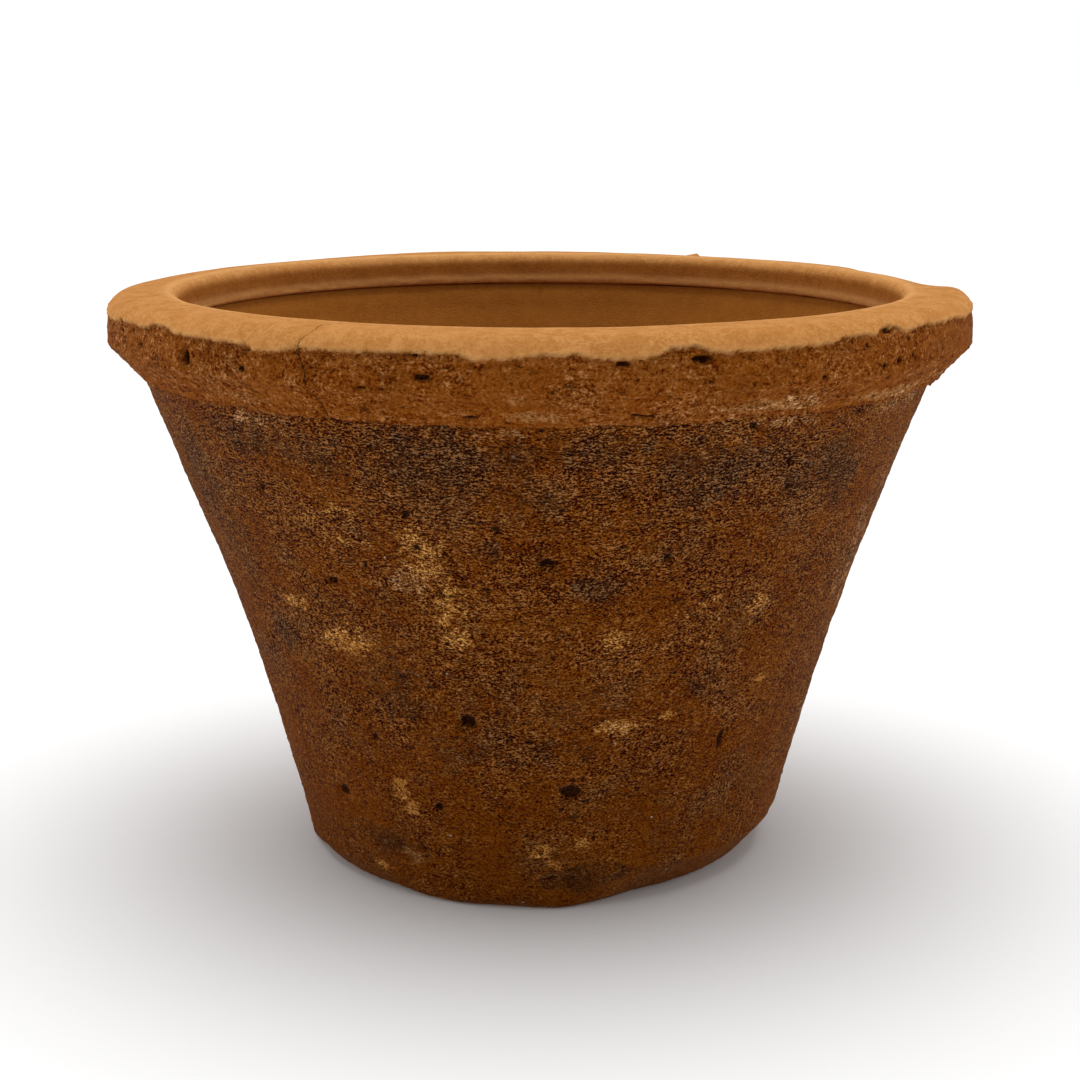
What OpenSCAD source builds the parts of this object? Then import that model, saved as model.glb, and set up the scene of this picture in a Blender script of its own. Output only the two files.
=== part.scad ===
// Terracotta plant pot, built the way a potter builds it: a floor disc with a drain hole, a flared wall
// raised on the disc, and a heavy collar pressed down over the wall's top edge. Firing makes them one body.
// Millimetres. The origin is at the centre of the foot, on the ground, with +Z up.

/* [Pot] */
// Outside diameter of the rim
rim_d = 300; // [270:1:360]
// Height from the ground to the top of the rim
pot_h = 200; // [150:1:260]
// Diameter of the foot, where the outside of the wall would meet the ground
foot_d = 168; // [140:1:200]
// Thickness of the wall, measured level
wall_t = 17; // [10:0.5:22]
// How far the wall curves in from a straight line between the foot and the collar
wall_bow = 3.8; // [0:0.2:8]

/* [Collar] */
// Height of the collar from the bottom of its skirt to the top of the rim
collar_h = 28; // [23:0.5:40]
// How far the collar's outer face stands out from the wall's neck
collar_out = 13; // [8:0.5:18]
// Thickness of the collar's skirt at its lowest edge
skirt_t = 2.7; // [1.5:0.1:5]
// Height of the slope under the collar's outer face
slope_h = 11; // [4:0.5:13]
// Radius of the collar's outer shoulder
shoulder_r = 8; // [3:0.5:10]
// Radius of the mouth's rounded edge
mouth_edge_r = 5; // [2:0.5:6]
// Depth of the wall's top edge below the top of the rim
seat_depth = 12.5; // [10:0.5:15]
// Radius of the bead round the bottom of the collar's inner face
bead_r = 2; // [1:0.25:2.5]
// How far the bead overhangs the wall's inner face
bead_overhang = 2.8; // [0:0.1:5]
// How far the bead stands in from the mouth above it
bead_in = 1.4; // [0:0.1:3]

/* [Floor] */
// Thickness of the floor
floor_t = 16; // [10:0.5:24]
// Diameter of the drain hole
drain_d = 22; // [12:1:36]
// Size of the bevel round the top of the drain hole
drain_bevel = 2; // [0.5:0.5:4]
// Radius of the foot's outer edge
foot_edge_r = 4; // [1:0.5:8]
// Radius of the cove between the wall and the floor inside
cove_r = 14; // [6:1:20]

/* [Hidden] */
rim_r = rim_d / 2;
foot_r = foot_d / 2;
neck_r = rim_r - collar_out;
neck_z = pot_h - collar_h;
seat_z = pot_h - seat_depth;
bead_crest_r = inner_r(seat_z) - bead_overhang;
mouth_r = bead_crest_r + bead_in;
drain_r = drain_d / 2;
wall_steps = 12;
lap_steps = 3;
arc_steps = 6;
// The cove stops this many degrees short of level, so that its edge keeps some thickness
cove_stop = 20;
$fn = 120;

// Outside radius of the wall at height z: a straight flare with a shallow curve, deepest half way up
function wall_r(z) =
    let (t = z / neck_z)
    foot_r + (neck_r - foot_r) * t - 4 * wall_bow * t * (1 - t);

// Inside radius of the wall at height z
function inner_r(z) = wall_r(z) - wall_t;

// Points on an arc about [x, z] from angle a to angle b
function arc(x, z, radius, a, b) =
    [for (i = [0 : arc_steps])
        let (angle = a + (b - a) * i / arc_steps)
        [x + radius * cos(angle), z + radius * sin(angle)]];

// Points along the outside of the wall from height a to height b
function outer_line(a, b, steps) =
    [for (i = [0 : steps])
        let (z = a + (b - a) * i / steps)
        [wall_r(z), z]];

// Points along the inside of the wall from height a to height b
function inner_line(a, b, steps) =
    [for (i = [0 : steps])
        let (z = a + (b - a) * i / steps)
        [inner_r(z), z]];

// The outside of the wall where the collar laps over it, shared by both
function lap_line() = outer_line(neck_z, seat_z, lap_steps);

// A list without its first point
function after_first(points) = [for (i = [1 : len(points) - 1]) points[i]];

// The disc the pot stands on, with the drain hole through it
module floor_disc() {
    outline = concat(
        [[drain_r, 0]],
        arc(wall_r(foot_edge_r) - foot_edge_r, foot_edge_r, foot_edge_r, -90, 0),
        [[wall_r(floor_t), floor_t],
         [drain_r + drain_bevel, floor_t],
         [drain_r, floor_t - drain_bevel]]
    );
    color("sienna")
    rotate_extrude()
    polygon(outline);
}

// The flared wall, raised on the floor disc, with a cove round its foot inside
module wall() {
    cove_z = floor_t + cove_r;
    cove_x = inner_r(cove_z) - cove_r;
    outline = concat(
        outer_line(floor_t, neck_z, wall_steps),
        after_first(lap_line()),
        inner_line(seat_z, cove_z, wall_steps),
        after_first(arc(cove_x, cove_z, cove_r, 0, cove_stop - 90)),
        [[cove_x + cove_r * sin(cove_stop), floor_t]]
    );
    color("saddlebrown")
    rotate_extrude()
    polygon(outline);
}

// The collar: a ring of clay that sits on the wall's top edge and laps down over its outside
module rim_collar() {
    outline = concat(
        lap_line(),
        arc(bead_crest_r + bead_r, seat_z + bead_r, bead_r, 270, 135),
        arc(mouth_r + mouth_edge_r, pot_h - mouth_edge_r, mouth_edge_r, 180, 90),
        arc(rim_r - shoulder_r, pot_h - shoulder_r, shoulder_r, 90, 0),
        [[rim_r, neck_z + slope_h],
         [neck_r + skirt_t, neck_z]]
    );
    color("peru")
    rotate_extrude()
    polygon(outline);
}

floor_disc();
wall();
rim_collar();
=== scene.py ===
# %% [markdown]
# # A hand-built terracotta pot
# The pot is one fired body of coarse clay, built from three rings that the potter joined while they were
# soft: a floor disc, a flared wall and a heavy collar. The CAD frame holds their true sizes. This lesson
# gives each ring the skin of the real clay: a wiped, pale rim, and a torn, gritty, stained outside.

# %% Load the frame
import math

import bpy
import numpy as np
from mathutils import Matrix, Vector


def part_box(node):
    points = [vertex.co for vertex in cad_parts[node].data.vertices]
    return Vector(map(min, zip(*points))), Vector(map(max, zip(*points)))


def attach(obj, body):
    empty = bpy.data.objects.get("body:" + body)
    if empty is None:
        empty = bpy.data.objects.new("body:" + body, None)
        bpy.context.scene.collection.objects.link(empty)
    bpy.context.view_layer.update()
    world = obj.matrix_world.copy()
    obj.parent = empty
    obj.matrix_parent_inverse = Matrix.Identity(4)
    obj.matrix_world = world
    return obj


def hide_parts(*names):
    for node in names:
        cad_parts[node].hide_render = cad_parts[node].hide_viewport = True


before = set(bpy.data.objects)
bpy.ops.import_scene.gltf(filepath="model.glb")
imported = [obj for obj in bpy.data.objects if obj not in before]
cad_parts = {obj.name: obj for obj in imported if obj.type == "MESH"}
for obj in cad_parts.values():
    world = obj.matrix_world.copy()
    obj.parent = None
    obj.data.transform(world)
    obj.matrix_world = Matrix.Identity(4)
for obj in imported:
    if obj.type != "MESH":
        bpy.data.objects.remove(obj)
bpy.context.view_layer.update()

# %% [markdown]
# The rings are lathe shapes, so a section of each is all that has to be known. The main heights and radii
# are read from the frame. The others repeat the named sizes of the CAD model. Everything is in metres. A
# face that is hidden in a joint is tucked a little way into its neighbour, so that no gap can be seen
# between two rings.

# %% Measure the rings
MM = 0.001
rim_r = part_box("rim_collar")[1].x
pot_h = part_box("rim_collar")[1].z
neck_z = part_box("rim_collar")[0].z
seat_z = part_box("wall")[1].z
floor_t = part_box("floor_disc")[1].z
foot_r = 84 * MM
wall_t = 17 * MM
wall_bow = 3.8 * MM
collar_out = 13 * MM
skirt_t = 2.7 * MM
slope_h = 11 * MM
shoulder_r = 8 * MM
mouth_edge_r = 5 * MM
bead_r = 2 * MM
bead_overhang = 2.8 * MM
bead_in = 1.4 * MM
drain_r = 11 * MM
drain_bevel = 2 * MM
foot_edge_r = 4 * MM
cove_r = 14 * MM
cove_stop = 20
floor_tuck = 4 * MM
seat_tuck = 3 * MM
ledge_tuck = 0.8 * MM
toe_sink = 0.4 * MM
neck_r = rim_r - collar_out
skirt_r = neck_r + skirt_t


def wall_r(z):
    """Outside radius of the wall: a straight flare with a shallow curve, deepest half way up."""
    t = z / neck_z
    return foot_r + (neck_r - foot_r) * t - 4 * wall_bow * t * (1 - t)


seat_r = wall_r(seat_z)
bead_crest_r = seat_r - wall_t - bead_overhang
mouth_r = bead_crest_r + bead_in
joint_r = wall_r(floor_t)
print("rim", round(rim_r / MM, 2), "seat", round(seat_r / MM, 2), "joint", round(joint_r / MM, 2), "mm")

# %% [markdown]
# A section is a closed outline made of short runs, walked so that the clay is on the left. A run that is
# seen has its points close together, and a run that is hidden in a joint stays coarse. Each point also
# carries the direction that faces out of the clay, so that one set of tools works on the wall, the floor
# and the collar.

# %% Helpers for sections


def line(x0, z0, x1, z1):
    """A straight path from one point of the section to another."""
    return lambda t: (x0 + (x1 - x0) * t, z0 + (z1 - z0) * t)


def arc(x, z, radius, a, b):
    """A path round [x, z] from angle a to angle b, in degrees."""
    def path(t):
        angle = math.radians(a + (b - a) * t)
        return x + radius * math.cos(angle), z + radius * math.sin(angle)
    return path


def flare(z0, z1, inset=0.0):
    """A path along the wall from height z0 to z1, inset from its outside."""
    return lambda t: (wall_r(z0 + (z1 - z0) * t) - inset, z0 + (z1 - z0) * t)


SEEN_COLUMN, CREASE_COLUMN, ALONG_COLUMN = 4, 5, 6
LENGTH_POINTS = 33


def section(*runs):
    """A table of the outline's points: place r and z, facing r and z, seen, crease, length walked."""
    rows = []
    after_seen = 0
    for path, spacing, seen in runs:
        fine = np.array([path(t) for t in np.linspace(0, 1, LENGTH_POINTS)])
        length = np.hypot(*np.diff(fine, axis=0).T).sum()
        stops = np.linspace(0, 1, max(2, round(length / spacing)) + 1)
        for t in stops[after_seen:] if seen else stops[1:-1]:
            step = np.array(path(min(1, t + 0.001))) - np.array(path(max(0, t - 0.001)))
            step /= np.linalg.norm(step)
            rows.append([*path(t), step[1], -step[0], seen, 0, 0])
        after_seen = int(seen)
    table = np.array(rows)
    seen = table[:, SEEN_COLUMN]
    table[:, CREASE_COLUMN] = seen * (np.roll(seen, 1) * np.roll(seen, -1) == 0)
    table[1:, ALONG_COLUMN] = np.cumsum(np.hypot(*np.diff(table[:, :2], axis=0).T))
    return table


# %% [markdown]
# The three outlines take their corners from the same sizes, so the rings meet without a gap. Each run is
# given with the distance between its points.

# %% Draw the sections
SEEN, HIDDEN = True, False
cove_z = floor_t + cove_r
cove_x = wall_r(cove_z) - wall_t - cove_r
toe_x = cove_x + cove_r * math.sin(math.radians(cove_stop))
wall_section = section(
    (flare(floor_t, neck_z), 1.35 * MM, SEEN),
    (flare(neck_z, seat_z), 6 * MM, HIDDEN),
    (line(seat_r, seat_z, seat_r - wall_t, seat_z), 8 * MM, HIDDEN),
    (flare(seat_z, cove_z, wall_t), 4 * MM, SEEN),
    (arc(cove_x, cove_z, cove_r, 0, cove_stop - 90), 3 * MM, SEEN),
    (line(toe_x, floor_t - toe_sink, joint_r, floor_t), 12 * MM, HIDDEN),
)
foot_edge_x = wall_r(foot_edge_r) - foot_edge_r
floor_section = section(
    (line(toe_x + floor_tuck, floor_t, drain_r + drain_bevel, floor_t), 3 * MM, SEEN),
    (line(drain_r + drain_bevel, floor_t, drain_r, floor_t - drain_bevel), 1 * MM, SEEN),
    (line(drain_r, floor_t - drain_bevel, drain_r, 0), 2.5 * MM, SEEN),
    (line(drain_r, 0, foot_edge_x, 0), 3 * MM, SEEN),
    (arc(foot_edge_x, foot_edge_r, foot_edge_r, -90, -5), 1.2 * MM, SEEN),
    (flare(foot_edge_r, floor_t), 1.3 * MM, SEEN),
    (line(joint_r, floor_t, toe_x + floor_tuck, floor_t), 10 * MM, HIDDEN),
)
ledge_in_r = neck_r - ledge_tuck
slope_top_z = neck_z + slope_h
band_z = pot_h - mouth_edge_r
bead_x = bead_crest_r + bead_r
bead_round = arc(bead_x, seat_z + bead_r, bead_r, 135, 270)
collar_section = section(
    (line(ledge_in_r, neck_z, skirt_r, neck_z), 0.9 * MM, SEEN),
    (line(skirt_r, neck_z, rim_r, slope_top_z), 0.8 * MM, SEEN),
    (line(rim_r, slope_top_z, rim_r, pot_h - shoulder_r), 0.8 * MM, SEEN),
    (arc(rim_r - shoulder_r, pot_h - shoulder_r, shoulder_r, 0, 90), 0.55 * MM, SEEN),
    (line(rim_r - shoulder_r, pot_h, mouth_r + mouth_edge_r, pot_h), 1.6 * MM, SEEN),
    (arc(mouth_r + mouth_edge_r, band_z, mouth_edge_r, 90, 180), 1.2 * MM, SEEN),
    (line(mouth_r, band_z, *bead_round(0)), 1.3 * MM, SEEN),
    (bead_round, 0.7 * MM, SEEN),
    (line(bead_x, seat_z, seat_r - seat_tuck, seat_z), 8 * MM, HIDDEN),
    (line(seat_r - seat_tuck, seat_z, ledge_in_r, neck_z), 8 * MM, HIDDEN),
)
for name, table in (("wall", wall_section), ("floor", floor_section), ("collar", collar_section)):
    print(name, "section has", len(table), "points, and is", round(table[-1, ALONG_COLUMN] / MM), "mm round")

# %% [markdown]
# Nodes are laid out by small helpers: one adds a node, one does arithmetic and one gives a tree an input or
# an output. They serve the Geometry Nodes tree below and the materials later. One more puts an object in
# the scene.

# %% Helpers for node trees


def add(tree, kind, values=None, **settings):
    """A node of that kind. A value that is a socket is linked, and any other is set."""
    made = tree.nodes.new(kind)
    for key, value in settings.items():
        setattr(made, key, value)
    for key, value in (values or {}).items():
        if isinstance(value, bpy.types.NodeSocket):
            tree.links.new(value, made.inputs[key])
        else:
            made.inputs[key].default_value = value
    return made


def sums(tree, kind, *values, clamp=False):
    """The result of one Math node, such as ADD or MULTIPLY_ADD."""
    return add(tree, "ShaderNodeMath", dict(enumerate(values)), operation=kind, use_clamp=clamp).outputs[0]


def times(tree, a, b):
    """The product of two values."""
    return sums(tree, "MULTIPLY", a, b)


def ratio(tree, a, b):
    """One value divided by another."""
    return sums(tree, "DIVIDE", a, b)


def socket(tree, name, kind="Float", value=None, way="INPUT"):
    """Gives a tree an input, or an output, of that name."""
    made = tree.interface.new_socket(name, in_out=way, socket_type="NodeSocket" + kind)
    if value is not None:
        made.default_value = value


def shown(name, data):
    """A new object in the scene that holds the data."""
    made = bpy.data.objects.new(name, data)
    bpy.context.scene.collection.objects.link(made)
    return made


# %% [markdown]
# ## The rings
# The clay's own unevenness is noise in space, read at each point of a ring: slow swells, lumps, drag marks
# that lie flat, grit, and pores in the cells of a Voronoi texture. The noise is the same for all three
# rings, so the relief runs across the joints. Each value is stored on the points, and the marks use it
# later.

# %% Store the clay's noise
SEED_STEP = 0.37
PORE_SHARE = 0.5
WIDEST_PORE = 0.2  # its radius, as a share of the spacing


def with_field(tree, mesh, name, value, kind="FLOAT"):
    """The mesh with one more named value on its points."""
    values = {"Geometry": mesh, "Name": name, "Value": value}
    return add(tree, "GeometryNodeStoreNamedAttribute", values, data_type=kind, domain="POINT").outputs[0]


def with_noise(tree, given, mesh):
    """The mesh with five kinds of unevenness on its points, each with a shift of its own."""
    at = add(tree, "GeometryNodeInputPosition").outputs[0]

    def noise(size, detail, stretch=(1.0, 1.0, 1.0), rough=0.55, shift=0.0):
        """Noise from -1 to 1 whose lumps are about as wide as size."""
        flat = add(tree, "ShaderNodeVectorMath", {0: at, 1: stretch}, operation="MULTIPLY").outputs[0]
        values = {"Vector": flat, "W": sums(tree, "MULTIPLY_ADD", given["Seed"], SEED_STEP, shift),
                  "Scale": ratio(tree, 1.0, size), "Detail": detail, "Roughness": rough}
        fac = add(tree, "ShaderNodeTexNoise", values, noise_dimensions="4D").outputs[0]
        return sums(tree, "MULTIPLY_ADD", fac, 2.0, -1.0)

    lumps = noise(given["Lump Size"], 2.0, (1.0, 1.0, 1.5))
    drag = noise(given["Drag Size"], 3.0, (1.0, 1.0, 2.3), 0.6, 3.1)
    grit = noise(times(tree, given["Drag Size"], 0.5), 2.0, (1.0, 1.0, 1.4), 0.6, 5.3)
    slow = noise(times(tree, given["Lump Size"], 3.0), 2.0, (1.0, 1.0, 1.0), 0.5, 8.7)

    # Half of the cells hold a pore, and a cell's own chance value says how wide it is.
    cell = {"Vector": at, "W": given["Seed"], "Scale": ratio(tree, 1.0, given["Pore Spacing"])}
    pore = add(tree, "ShaderNodeTexVoronoi", cell, voronoi_dimensions="4D").outputs
    chance = add(tree, "ShaderNodeSeparateXYZ", {0: pore["Color"]}).outputs[0]
    spread = {"Value": chance, "From Min": 0.45, "From Max": 1.0, "To Min": 0.0, "To Max": WIDEST_PORE}
    wide = add(tree, "ShaderNodeMapRange", spread).outputs[0]
    edge = {"Value": pore["Distance"], "From Min": times(tree, wide, 1.2), "From Max": times(tree, wide, 0.5)}
    pores = add(tree, "ShaderNodeMapRange", edge, interpolation_type="SMOOTHSTEP").outputs[0]
    pores = times(tree, pores, sums(tree, "GREATER_THAN", chance, 1 - PORE_SHARE))
    for name, value in (("lumps", lumps), ("drag", drag), ("grit", grit), ("slow", slow), ("pores", pores)):
        mesh = with_field(tree, mesh, name, value)
    return mesh


# %% [markdown]
# A lathe can be made with the Screw modifier or with Curve to Mesh. A Geometry Nodes tree does it here,
# because it can store the noise as well. The tree takes the section as a line of points, makes a grid with
# a row for each of them, and wraps the grid round the axis. Columns can be closer together at one turn,
# where a fine crack has to be cut.

# %% Build the ring tree
SECTION_FIELDS = ("seen", "crease", "along")
MERGE_DISTANCE = 1e-6


def ring_tree():
    """The Geometry Nodes tree that turns a section into a ring."""
    tree = bpy.data.node_groups.new("clay_ring", "GeometryNodeTree")
    socket(tree, "Geometry", "Geometry")
    sizes = (("Columns", "Int", 560), ("Fine Turn", "Float", 0.0), ("Fine Width", "Float", 0.06),
             ("Fine Share", "Float", 0.0), ("Lump Size", "Float", 20 * MM), ("Drag Size", "Float", 4 * MM),
             ("Pore Spacing", "Float", 11 * MM), ("Seed", "Int", 7))
    for name, kind, value in sizes:
        socket(tree, name, kind, value)
    socket(tree, "Material", "Material")
    socket(tree, "Geometry", "Geometry", way="OUTPUT")
    given = add(tree, "NodeGroupInput").outputs
    profile = given["Geometry"]

    # The grid: one row for each point of the section and one more, to close it.
    size = add(tree, "GeometryNodeAttributeDomainSize", {0: profile}, component="MESH")
    points = size.outputs["Point Count"]
    rows = sums(tree, "ADD", points, 1.0)
    columns = sums(tree, "ADD", given["Columns"], 1.0)
    mesh = add(tree, "GeometryNodeMeshGrid", {"Vertices X": columns, "Vertices Y": rows}).outputs["Mesh"]
    index = add(tree, "GeometryNodeInputIndex").outputs[0]
    column = sums(tree, "FLOOR", ratio(tree, sums(tree, "ADD", index, 0.5), rows))
    row = sums(tree, "MODULO", sums(tree, "SUBTRACT", index, times(tree, column, rows)), points)

    # The turn of each column, pulled closer together round the fine turn.
    even = sums(tree, "SUBTRACT", times(tree, ratio(tree, column, given["Columns"]), math.tau), math.pi)
    pull = times(tree, given["Fine Width"], given["Fine Share"])
    spread = sums(tree, "MULTIPLY_ADD", even, ratio(tree, pull, math.pi), even)
    squeeze = times(tree, pull, sums(tree, "TANH", ratio(tree, even, given["Fine Width"])))
    turn = sums(tree, "ADD", sums(tree, "SUBTRACT", spread, squeeze), given["Fine Turn"])
    sine, cosine = sums(tree, "SINE", turn), sums(tree, "COSINE", turn)

    def from_section(kind, value):
        """A value of the section's points, given to every point of their rows."""
        node = add(tree, "GeometryNodeSampleIndex", data_type=kind, domain="POINT")
        tree.links.new(profile, node.inputs["Geometry"])
        tree.links.new(value, node.inputs["Value"])
        tree.links.new(row, node.inputs["Index"])
        return node.outputs["Value"]

    def stored(name, kind="FLOAT"):
        node = add(tree, "GeometryNodeInputNamedAttribute", {"Name": name}, data_type=kind)
        return from_section(kind, node.outputs["Attribute"])

    def wrapped(vector):
        """A section vector [r, 0, z] turned round the axis. Turn 0 is the front, and right is positive."""
        parts = add(tree, "ShaderNodeSeparateXYZ", {0: vector}).outputs
        x, y = times(tree, parts[0], sine), times(tree, times(tree, parts[0], cosine), -1.0)
        return add(tree, "ShaderNodeCombineXYZ", {0: x, 1: y, 2: parts[2]}).outputs[0]

    where = wrapped(from_section("FLOAT_VECTOR", add(tree, "GeometryNodeInputPosition").outputs[0]))
    facing = wrapped(stored("facing", "FLOAT_VECTOR"))

    # These values go by the index of a point, so they are stored before Merge by Distance changes it.
    for name in SECTION_FIELDS:
        mesh = with_field(tree, mesh, name, stored(name))
    mesh = with_field(tree, mesh, "facing", facing, "FLOAT_VECTOR")
    mesh = with_field(tree, mesh, "turn", turn)
    mesh = with_field(tree, mesh, "row", row)
    mesh = add(tree, "GeometryNodeSetPosition", {"Geometry": mesh, "Position": where}).outputs[0]
    mesh = add(tree, "GeometryNodeMergeByDistance", {"Geometry": mesh, "Distance": MERGE_DISTANCE}).outputs[0]
    mesh = with_noise(tree, given, mesh)
    mesh = add(tree, "GeometryNodeSetShadeSmooth", {0: mesh}).outputs[0]
    mesh = add(tree, "GeometryNodeRealizeInstances", {0: mesh}).outputs[0]
    mesh = add(tree, "GeometryNodeSetMaterial", {"Geometry": mesh, "Material": given["Material"]}).outputs[0]
    tree.links.new(mesh, add(tree, "NodeGroupOutput").inputs[0])
    return tree


clay_ring = ring_tree()
print("ring tree has", len(clay_ring.nodes), "nodes")

# %% [markdown]
# The tree runs as a modifier on the section. The result is copied out as a plain mesh, and the modifier and
# the section go. The wall and the floor share one clay and the collar has another. Both are still empty
# here, and get their nodes when the marks are in place.

# %% Turn the rings


def turn_ring(name, table, **inputs):
    """A plain mesh object made from a section, with the tree's inputs set by name."""
    line_mesh = bpy.data.meshes.new(name + "_section")
    count = len(table)
    points = [(r, 0, z) for r, z in table[:, :2]]
    line_mesh.from_pydata(points, [(i, (i + 1) % count) for i in range(count)], [])
    for column, field in enumerate(SECTION_FIELDS, SEEN_COLUMN):
        line_mesh.attributes.new(field, "FLOAT", "POINT").data.foreach_set("value", table[:, column])
    facing = np.stack([table[:, 2], np.zeros(count), table[:, 3]], axis=1)
    line_mesh.attributes.new("facing", "FLOAT_VECTOR", "POINT").data.foreach_set("vector", facing.ravel())
    base = shown(name + "_section", line_mesh)
    modifier = base.modifiers.new("ring", "NODES")
    modifier.node_group = clay_ring
    items = clay_ring.interface.items_tree
    sockets = {item.name: item.identifier for item in items if item.in_out == "INPUT"}
    for key, value in inputs.items():
        modifier[sockets[key.replace("_", " ")]] = value
    bpy.context.view_layer.update()
    evaluated = base.evaluated_get(bpy.context.evaluated_depsgraph_get())
    mesh = bpy.data.meshes.new_from_object(evaluated)
    mesh.name = name
    mesh.materials.pop(index=0)  # the grid's own empty slot, before the clay's
    piece = shown(name, mesh)
    base.modifiers.clear()
    bpy.data.objects.remove(base)
    bpy.data.meshes.remove(line_mesh)
    triangles = sum(len(p.vertices) - 2 for p in mesh.polygons)
    print(name, len(mesh.vertices), "points,", triangles, "triangles")
    return piece


crack_turn = -27.0
body_clay = bpy.data.materials.new("body_clay")
rim_clay = bpy.data.materials.new("rim_clay")
wall = turn_ring("wall_clay", wall_section, Material=body_clay)
floor = turn_ring("floor_clay", floor_section, Material=body_clay)
collar = turn_ring("collar_clay", collar_section, Columns=1080, Fine_Turn=math.radians(crack_turn),
                   Fine_Share=0.5, Material=rim_clay)

# %% [markdown]
# ## Marks in the clay
# Sculpting by hand would give the marks, but not the same marks twice. Here each mark is a small push along
# the way a point faces, in millimetres, and every push is kept in one list before the points move. A mark
# also leaves a mask, from 0 to 1, that the finish reads later, so that the paint and the shape agree. The
# crack's mask is different: it holds the distance to the crack in millimetres, and 9 where there is none.
# Turns are in degrees, from 0 at the front to 90 at the right.

# %% Read the rings into arrays
MASKS = ("rough", "pit", "soot", "ochre", "lime", "scar", "burr", "worn", "damp", "crack")
RING_FIELDS = ("seen", "crease", "along", "row", "turn", "facing", "lumps", "drag", "grit", "slow", "pores")
NO_CRACK = 9


def read(mesh, name):
    """The values of a point attribute, one row for each point."""
    data = mesh.attributes[name].data
    if mesh.attributes[name].data_type == "FLOAT_VECTOR":
        values = np.empty(len(data) * 3, np.float32)
        data.foreach_get("vector", values)
        return values.reshape(-1, 3).astype(float)
    values = np.empty(len(data), np.float32)
    data.foreach_get("value", values)
    return values.astype(float)


def ease(low, high, x):
    """0 below low, 1 above high and a smooth step between, the other way round if low is the larger."""
    t = np.clip((x - low) / (high - low), 0, 1)
    return t * t * (3 - 2 * t)


def skin_of(piece):
    """Everything that the marks need to know about a ring's points, and an empty push and empty masks."""
    mesh = piece.data
    skin = {name: read(mesh, name) for name in (*RING_FIELDS, "position")}
    skin["turn"] = (np.degrees(skin["turn"]) + 180) % 360 - 180
    x, y, z = skin["position"].T
    skin["r"] = np.hypot(x, y) / MM
    skin["z"] = z / MM
    skin["out"] = (skin["facing"][:, 0] * x + skin["facing"][:, 1] * y) / (skin["r"] * MM)
    skin["along"] /= MM
    skin["push"] = np.zeros(len(x))
    skin["pull"] = np.zeros(len(x))
    for mask in MASKS:
        skin[mask] = np.zeros(len(x))
    skin["crack"] += NO_CRACK
    return skin


skins = {piece.name: skin_of(piece) for piece in (wall, floor, collar)}
print("points read:", {name: len(skin["r"]) for name, skin in skins.items()})

# %% [markdown]
# A mark is placed by a turn and a height, and has a soft, ragged edge. These helpers measure from a turn,
# draw a spot or a ridge, and add up the noises that the ring tree left on the points.

# %% Helpers for marks


def past_turn(skin, turn):
    """How many degrees each point is past a turn, from -180 to 180."""
    return (skin["turn"] - turn + 180) % 360 - 180


def round_from(skin, turn):
    """How far each point is past a turn, in millimetres round the pot."""
    return np.radians(past_turn(skin, turn)) * skin["r"]


def ridge(x, centre, width):
    """1 where x is at the centre of a band, falling off to 0.37 at the width."""
    return np.exp(-((x - centre) / width) ** 2)


def relief(skin, **depths):
    """The sum of some of the ring tree's noises, each as deep as given, in millimetres."""
    return sum(depth * skin[noise] for noise, depth in depths.items())


def spot(skin, turn, height, wide, tall, level="z", ragged=0.3, soft=0.45):
    """A mask that is 1 in a ragged oval at that turn and height, wide and tall in millimetres."""
    across = round_from(skin, turn) / (wide / 2)
    up = (skin[level] - height) / (tall / 2)
    distance = np.hypot(across, up) * (1 + ragged * skin["grit"]) + ragged * 0.5 * skin["drag"]
    return ease(1 + soft / 2, 1 - soft / 2, distance) * skin["seen"]


# %% [markdown]
# The wall and the floor's edge share one skin. Slow lumps show that it was built by hand, and the left side
# swells a little. Drag marks lie flat, because the clay was scraped round. Grit tore out and left pores.
# The inside was only smoothed with wet fingers, so it has faint rings. Larger pits are placed one by one.

# %% Roughen the wall and the foot
SIDEWAYS = 0.2  # how far a face must look out of the pot, or into it, to count as outside or inside
SWELL_TURN, SWELL_DEPTH = -85, 1.3
FINGER_DEPTH, FINGER_STEP = 0.16, 1.9
for piece in (wall, floor):
    skin = skins[piece.name]
    outside = skin["seen"] * (skin["out"] > SIDEWAYS)
    skin["rough"] = outside * ease(SIDEWAYS, 0.7, skin["out"])
    skin["push"] += skin["seen"] * relief(skin, lumps=0.6, slow=0.5)
    skin["push"] += skin["rough"] * (relief(skin, drag=0.55, grit=0.4, pores=-0.8) - 0.15)
    # The pores are painted dark later through this mask, as painted shade in them.
    skin["pit"] = skin["rough"] * skin["pores"]
    swell = ease(70, 20, np.abs(past_turn(skin, SWELL_TURN))) * ease(95, 135, skin["z"])
    skin["push"] += SWELL_DEPTH * swell * outside
    inside = skin["seen"] * (skin["out"] < -SIDEWAYS)
    skin["push"] += inside * FINGER_DEPTH * np.sin(skin["z"] / FINGER_STEP + 2.5 * skin["slow"])

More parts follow.
